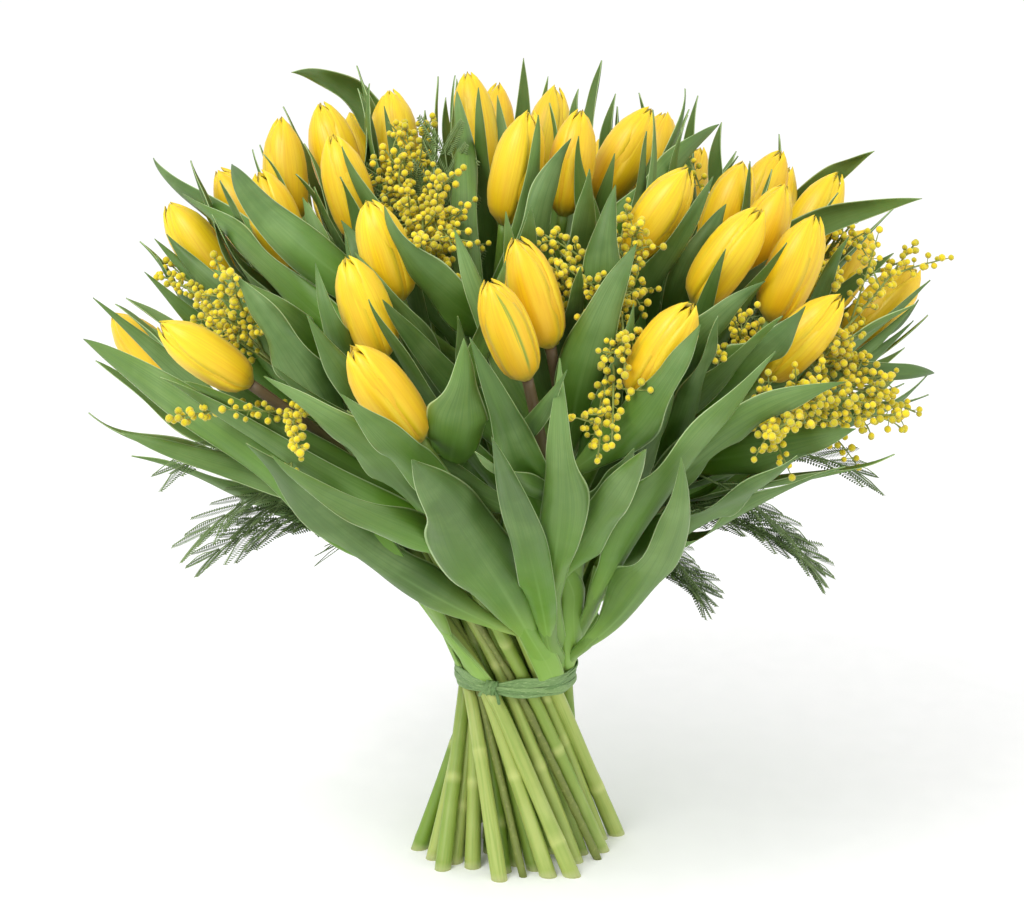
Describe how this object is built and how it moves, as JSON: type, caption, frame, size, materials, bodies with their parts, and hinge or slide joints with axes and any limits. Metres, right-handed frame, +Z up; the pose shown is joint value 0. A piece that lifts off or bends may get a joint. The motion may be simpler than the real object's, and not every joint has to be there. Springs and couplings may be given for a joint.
{
  "type": "tulip bouquet",
  "caption": "Hand-tied bunch of yellow tulips with leaves and mimosa sprays, its stems crossing in a spiral at a green tie so that it stands on their cut ends.",
  "frame": {"origin": "cut end of the middle stem, on the surface that the bunch stands on", "axes": "+Z up along the middle stem; the front, with the tie's knot to its left, faces -Y"},
  "size_m": [0.4407, 0.5157, 0.4229],
  "materials": {
    "petal": "satin, waxy petal",
    "leaf_and_stem": "satin, waxy green leaf",
    "mimosa": "matte, downy",
    "raffia": "matte fibre"
  },
  "bodies": {
    "root": {"tulip_bloom_01": "petal", "tulip_bloom_02": "petal", "tulip_bloom_03": "petal", "tulip_bloom_04": "petal", "tulip_bloom_05": "petal", "tulip_bloom_06": "petal", "tulip_bloom_07": "petal", "tulip_bloom_08": "petal", "tulip_bloom_09": "petal", "tulip_bloom_10": "petal", "tulip_bloom_11": "petal", "tulip_bloom_12": "petal", "tulip_bloom_13": "petal", "tulip_bloom_14": "petal", "tulip_bloom_15": "petal", "tulip_bloom_16": "petal", "tulip_bloom_17": "petal", "tulip_bloom_18": "petal", "tulip_bloom_19": "petal", "tulip_bloom_20": "petal", "tulip_bloom_21": "petal", "tulip_bloom_22": "petal", "tulip_bloom_23": "petal", "tulip_bloom_24": "petal", "tulip_bloom_25": "petal", "tulip_bloom_26": "petal", "tulip_bloom_27": "petal", "tulip_bloom_28": "petal", "tulip_bloom_29": "petal", "tulip_bloom_30": "petal", "tulip_bloom_31": "petal", "tulip_bloom_32": "petal", "tulip_bloom_33": "petal", "tulip_bloom_34": "petal", "tulip_bloom_35": "petal", "tulip_bloom_36": "petal", "tulip_bloom_37": "petal", "tulip_bloom_38": "petal", "tulip_bloom_39": "petal", "tulip_bloom_40": "petal", "tulip_bloom_41": "petal", "tulip_bloom_42": "petal", "tulip_bloom_43": "petal", "tulip_bloom_44": "petal", "tulip_bloom_45": "petal", "leafy_stems_1": "leaf_and_stem", "leafy_stems_2": "leaf_and_stem", "leafy_stems_3": "leaf_and_stem", "leafy_stems_4": "leaf_and_stem", "leafy_stems_5": "leaf_and_stem", "leafy_stems_6": "leaf_and_stem", "leafy_stems_7": "leaf_and_stem", "leafy_stems_8": "leaf_and_stem", "mimosa_left": "mimosa", "mimosa_upper_left": "mimosa", "mimosa_middle": "mimosa", "mimosa_right": "mimosa", "mimosa_upper_right": "mimosa", "mimosa_far": "mimosa", "raffia_tie": "raffia"}
  },
  "joints": []
}
